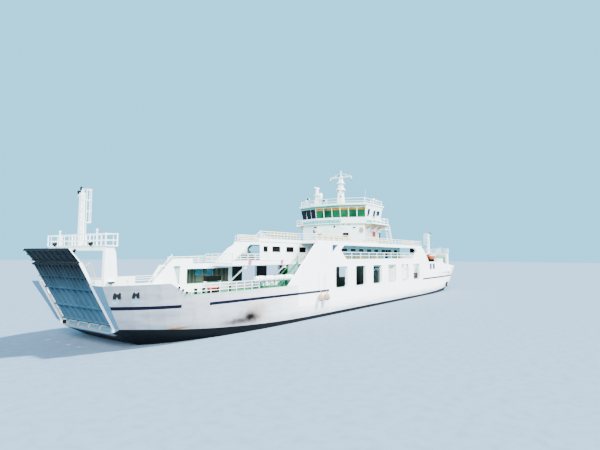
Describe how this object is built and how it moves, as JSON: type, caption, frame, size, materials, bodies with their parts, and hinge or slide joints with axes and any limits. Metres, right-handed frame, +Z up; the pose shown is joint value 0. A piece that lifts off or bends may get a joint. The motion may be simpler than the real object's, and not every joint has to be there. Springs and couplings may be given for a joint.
{
  "type": "double-ended passenger and car ferry, 1:10 scale model",
  "caption": "Double-ended passenger and car ferry with raised end ramps, end gantries, open side decks, a long windowed superstructure and a wheelhouse amidships, as a scale model.",
  "frame": {"origin": "on the centreline at the waterline, midway between the two end gantries", "axes": "+X forward towards the bow ramp, +Y to port, +Z up"},
  "size_m": [10.3336, 1.6743, 2.8222],
  "materials": {
    "hull_white": "satin white paint, near black below the waterline",
    "house_white": "satin white paint",
    "deck_green": "matt green deck paint",
    "dark_steel": "dark painted steel",
    "bronze": "cast bronze",
    "ramp_grey": "worn grey-blue paint",
    "bench_yellow": "cream yellow paint",
    "fender_tan": "sun-bleached rubber",
    "boat_orange": "orange moulded plastic"
  },
  "bodies": {
    "ferry": {"aft_wing_port": "house_white", "aft_wing_starboard": "house_white", "anchor_port": "dark_steel", "anchor_starboard": "dark_steel", "bench_port": "bench_yellow", "bench_starboard": "bench_yellow", "boat_cradle": "dark_steel", "bridge_tower": "house_white", "bridge_wing_port": "house_white", "bridge_wing_starboard": "house_white", "bulwark_bow_port": "hull_white", "bulwark_bow_starboard": "hull_white", "bulwark_stern_port": "hull_white", "bulwark_stern_starboard": "hull_white", "casing_bow_port": "house_white", "casing_stern_starboard": "house_white", "deck_edge_port": "house_white", "deck_edge_starboard": "house_white", "engine_bow": "dark_steel", "engine_hatch_bow": "deck_green", "engine_hatch_stern": "deck_green", "engine_stern": "dark_steel", "fender_aft": "fender_tan", "fender_fore": "fender_tan", "gantry_bow": "house_white", "gantry_stern": "house_white", "hull": "hull_white", "liferafts_port": "house_white", "liferafts_starboard": "house_white", "main_mast": "house_white", "passenger_deck": "house_white", "radar_mast": "house_white", "rescue_boat": "boat_orange", "saloon": "house_white", "side_deck_rail_port": "house_white", "side_deck_rail_starboard": "house_white", "side_wall_port": "house_white", "side_wall_starboard": "house_white", "stairs_port": "deck_green", "stairs_starboard": "deck_green", "sun_deck": "house_white", "sun_deck_rail_port": "house_white", "sun_deck_rail_starboard": "house_white", "wheelhouse": "house_white", "wheelhouse_roof": "house_white"},
    "ramp_stern": {"ramp_stern": "ramp_grey"},
    "flap_stern": {"flap_stern": "ramp_grey"},
    "thruster_stern_starboard": {"thruster_stern_starboard": "dark_steel"},
    "propeller_stern_starboard": {"propeller_stern_starboard": "bronze"},
    "thruster_stern_port": {"thruster_stern_port": "dark_steel"},
    "propeller_stern_port": {"propeller_stern_port": "bronze"},
    "ramp_bow": {"ramp_bow": "ramp_grey"},
    "flap_bow": {"flap_bow": "ramp_grey"},
    "thruster_bow_starboard": {"thruster_bow_starboard": "dark_steel"},
    "propeller_bow_starboard": {"propeller_bow_starboard": "bronze"},
    "thruster_bow_port": {"thruster_bow_port": "dark_steel"},
    "propeller_bow_port": {"propeller_bow_port": "bronze"},
    "radar_scanner": {"radar_scanner": "house_white"},
    "davit_arm": {"davit_arm": "house_white"}
  },
  "joints": [
    {"name": "ramp_stern_hinge", "type": "hinge", "parent": "ferry", "child": "ramp_stern", "pos_m": [-4.72861, 0, 0.20762], "axis": [0, -1, 0], "range_deg": [0, 69]},
    {"name": "flap_stern_hinge", "type": "hinge", "parent": "ramp_stern", "child": "flap_stern", "pos_m": [-5.0516, 0, 0.78318], "axis": [0, -1, 0], "range_deg": [-25, 15]},
    {"name": "thruster_stern_starboard_turn", "type": "hinge", "parent": "ferry", "child": "thruster_stern_starboard", "pos_m": [-3.9, -0.32, -0.2], "axis": [0, 0, 1], "continuous": true},
    {"name": "propeller_stern_starboard_spin", "type": "hinge", "parent": "thruster_stern_starboard", "child": "propeller_stern_starboard", "pos_m": [-4.02, -0.32, -0.305], "axis": [1, 0, 0], "continuous": true},
    {"name": "thruster_stern_port_turn", "type": "hinge", "parent": "ferry", "child": "thruster_stern_port", "pos_m": [-3.9, 0.32, -0.2], "axis": [0, 0, 1], "continuous": true},
    {"name": "propeller_stern_port_spin", "type": "hinge", "parent": "thruster_stern_port", "child": "propeller_stern_port", "pos_m": [-4.02, 0.32, -0.305], "axis": [1, 0, 0], "continuous": true},
    {"name": "ramp_bow_hinge", "type": "hinge", "parent": "ferry", "child": "ramp_bow", "pos_m": [4.72861, 0, 0.20762], "axis": [0, 1, 0], "range_deg": [0, 69]},
    {"name": "flap_bow_hinge", "type": "hinge", "parent": "ramp_bow", "child": "flap_bow", "pos_m": [5.0516, 0, 0.78318], "axis": [0, 1, 0], "range_deg": [-25, 15]},
    {"name": "thruster_bow_starboard_turn", "type": "hinge", "parent": "ferry", "child": "thruster_bow_starboard", "pos_m": [3.9, -0.32, -0.2], "axis": [0, 0, 1], "continuous": true},
    {"name": "propeller_bow_starboard_spin", "type": "hinge", "parent": "thruster_bow_starboard", "child": "propeller_bow_starboard", "pos_m": [4.02, -0.32, -0.305], "axis": [1, 0, 0], "continuous": true},
    {"name": "thruster_bow_port_turn", "type": "hinge", "parent": "ferry", "child": "thruster_bow_port", "pos_m": [3.9, 0.32, -0.2], "axis": [0, 0, 1], "continuous": true},
    {"name": "propeller_bow_port_spin", "type": "hinge", "parent": "thruster_bow_port", "child": "propeller_bow_port", "pos_m": [4.02, 0.32, -0.305], "axis": [1, 0, 0], "continuous": true},
    {"name": "radar_scanner_spin", "type": "hinge", "parent": "ferry", "child": "radar_scanner", "pos_m": [-0.15, 0.4, 2.1], "axis": [0, 0, 1], "continuous": true},
    {"name": "davit_slew", "type": "hinge", "parent": "ferry", "child": "davit_arm", "pos_m": [2.75, -0.64, 0.8], "axis": [0, 0, 1], "range_deg": [-130, 20]}
  ]
}
